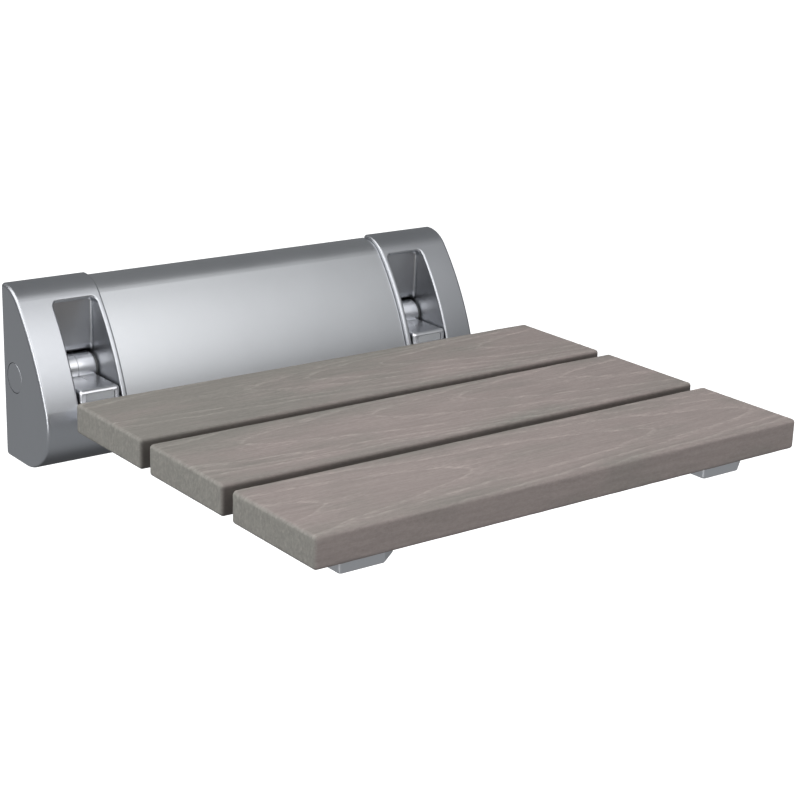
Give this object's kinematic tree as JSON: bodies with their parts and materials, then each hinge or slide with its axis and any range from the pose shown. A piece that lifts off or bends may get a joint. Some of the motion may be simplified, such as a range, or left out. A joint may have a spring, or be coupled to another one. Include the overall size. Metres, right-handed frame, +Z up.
{
  "type": "wall-mounted folding shower seat",
  "caption": "Fold-up shower seat: wood-look composite slats on metal arms, hinged in a curved metal wall housing with recessed pivot pockets.",
  "frame": {"origin": "centre of the wall plate's back face, on the wall", "axes": "+X along the slats, to the right of somebody facing the wall; +Y into the wall; +Z up"},
  "size_m": [0.38, 0.3888, 0.1244],
  "materials": {
    "housing_metal": "satin",
    "cover_metal": "satin",
    "arm_metal": "polished",
    "steel": "plain",
    "acetal": "moulded",
    "insert_plastic": "moulded",
    "rubber": "matt",
    "slat_composite": "embossed wood grain"
  },
  "bodies": {
    "wall_unit": {"wall_plate": "steel", "bracket_left": "housing_metal", "bracket_right": "housing_metal", "centre_cover": "cover_metal", "cover_screws": "steel", "bracket_screws": "steel", "hinge_pin_left": "steel", "hinge_pin_right": "steel", "pin_cap_left": "housing_metal", "pin_cap_right": "housing_metal", "pin_grub_screws": "steel", "retaining_rings": "steel", "thrust_washers": "acetal", "stop_pad_left": "rubber", "stop_pad_right": "rubber"},
    "seat": {"arm_left": "arm_metal", "arm_right": "arm_metal", "hinge_bush_left": "acetal", "hinge_bush_right": "acetal", "arm_insert_left": "insert_plastic", "arm_insert_right": "insert_plastic", "slat_back": "slat_composite", "slat_middle": "slat_composite", "slat_front": "slat_composite", "slat_screws": "steel"}
  },
  "joints": [
    {"name": "seat_fold", "type": "hinge", "parent": "wall_unit", "child": "seat", "pos_m": [0, -0.017, -0.002], "axis": [-1, 0, 0], "range_deg": [0, 90]}
  ]
}
